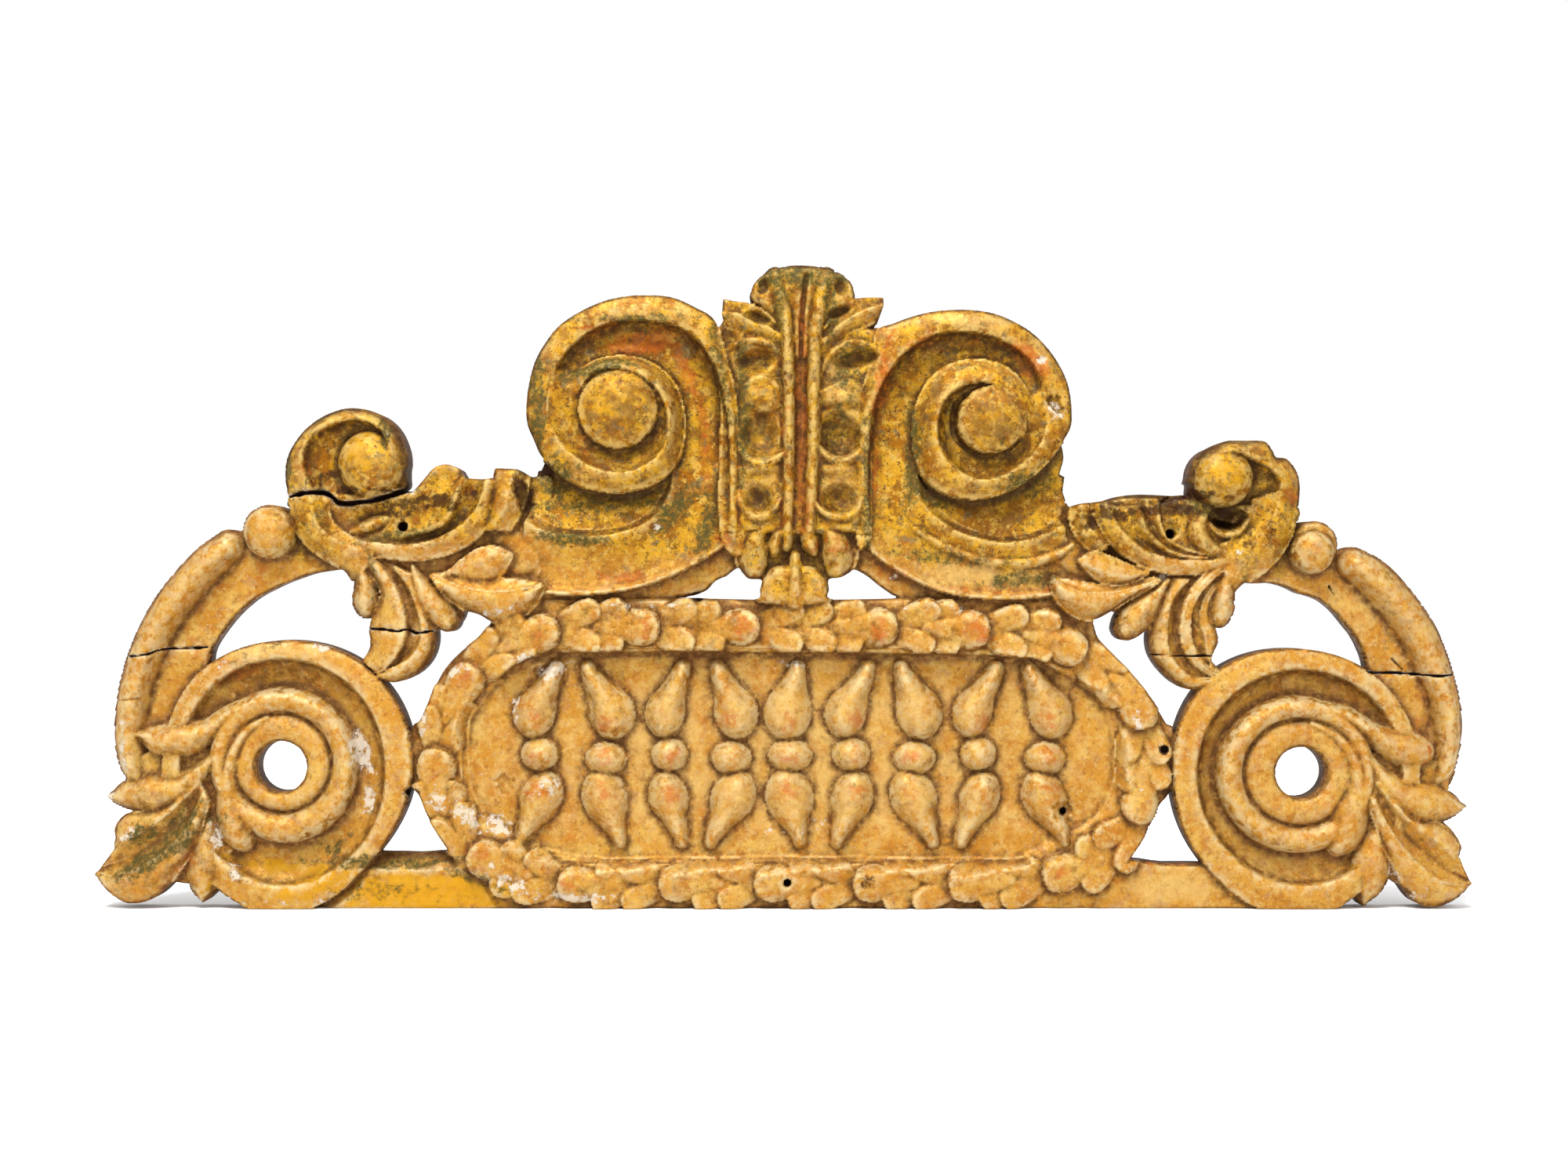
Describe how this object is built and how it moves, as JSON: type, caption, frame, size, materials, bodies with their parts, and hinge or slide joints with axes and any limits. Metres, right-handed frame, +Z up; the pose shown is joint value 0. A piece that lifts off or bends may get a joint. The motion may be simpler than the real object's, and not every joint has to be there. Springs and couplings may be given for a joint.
{
  "type": "carved wooden plaque",
  "caption": "Carved and gilded wooden crest with a laurel-bordered cartouche between openwork scrolls, flat at the back for hanging.",
  "frame": {"origin": "on the flat back, behind the middle of the cartouche, 123 mm above the base edge", "axes": "+X to the right seen from the front, +Y into the wall, +Z up; the carving faces -Y"},
  "size_m": [1.1015, 0.0622, 0.5131],
  "materials": {
    "aged_gilding": "aged gold leaf and gold paint over gesso and red bole, worn and dirty"
  },
  "bodies": {
    "root": {"carved_plaque": "aged_gilding"}
  },
  "joints": []
}
